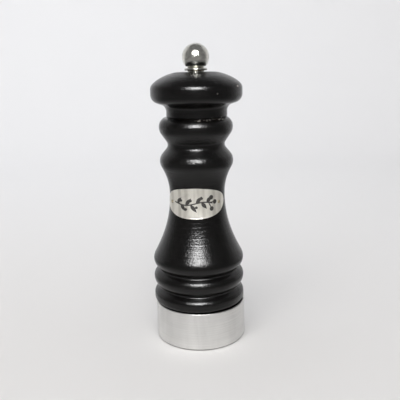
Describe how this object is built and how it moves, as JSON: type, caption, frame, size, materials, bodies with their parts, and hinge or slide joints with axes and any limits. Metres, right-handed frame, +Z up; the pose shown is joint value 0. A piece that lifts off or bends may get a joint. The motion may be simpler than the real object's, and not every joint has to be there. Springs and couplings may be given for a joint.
{
  "type": "pepper mill",
  "caption": "Turned black wooden pepper mill with beads and a waist, steel base ring, oval name plate, turning head on a steel spindle and a ball knob that sets the grind.",
  "frame": {"origin": "on the surface the mill stands on, at the centre of the base ring", "axes": "+Z up along the spindle; -Y is the front, where the name plate sits (turned 6 degrees towards -X); the body's turned outside stands 0.7 mm off its bore, towards -X"},
  "size_m": [0.0569, 0.0564, 0.1803],
  "materials": {
    "lacquered_wood": "black satin-gloss lacquer on turned wood",
    "steel_ring": "satin, brushed round the ring",
    "name_plate": "polished warm nickel",
    "nickel_knob": "polished nickel plate, lightly worn",
    "plated_steel": "zinc plated",
    "burr_steel": "hardened and oiled",
    "spring_steel": "drawn wire",
    "spindle_steel": "cold drawn",
    "brass_bush": "turned"
  },
  "bodies": {
    "mill_body": {"base_ring": "steel_ring", "body": "lacquered_wood", "name_plate": "name_plate", "name_plate_pins": "name_plate", "outer_burr": "burr_steel", "retaining_plate": "plated_steel", "retaining_screws": "plated_steel", "bridge": "plated_steel"},
    "spring_seat": {"upper_spring_washer": "plated_steel", "spring": "spring_steel"},
    "spindle": {"spindle": "spindle_steel", "inner_burr": "burr_steel", "burr_washer": "plated_steel", "spindle_clip": "spring_steel", "lower_spring_washer": "plated_steel"},
    "head": {"head": "lacquered_wood", "drive_plate": "plated_steel", "drive_plate_screws": "plated_steel", "head_bush": "brass_bush"},
    "knob_washer": {"knob_washer": "nickel_knob"},
    "knob": {"knob": "nickel_knob"}
  },
  "joints": [
    {"name": "head_turn", "type": "hinge", "parent": "mill_body", "child": "spring_seat", "pos_m": [0, 0, 0], "axis": [0, 0, 1], "continuous": true},
    {"name": "spindle_lift", "type": "slide", "parent": "spring_seat", "child": "spindle", "axis": [0, 0, 1], "range_m": [0, 0.0014], "deforming": ["spring"]},
    {"name": "head_lift", "type": "slide", "parent": "spring_seat", "child": "head", "axis": [0, 0, 1], "range_m": [0, 0.054]},
    {"name": "knob_lift", "type": "slide", "parent": "head", "child": "knob_washer", "axis": [0, 0, 1], "range_m": [0, 0.015]},
    {"name": "knob_turn", "type": "hinge", "parent": "knob_washer", "child": "knob", "pos_m": [0, 0, 0.164], "axis": [0, 0, -1], "range_deg": [0, 630]}
  ],
  "couplings": [
    {"joint": "spindle_lift", "follows": "knob_turn", "m_per_rad": 0.00012732}
  ]
}
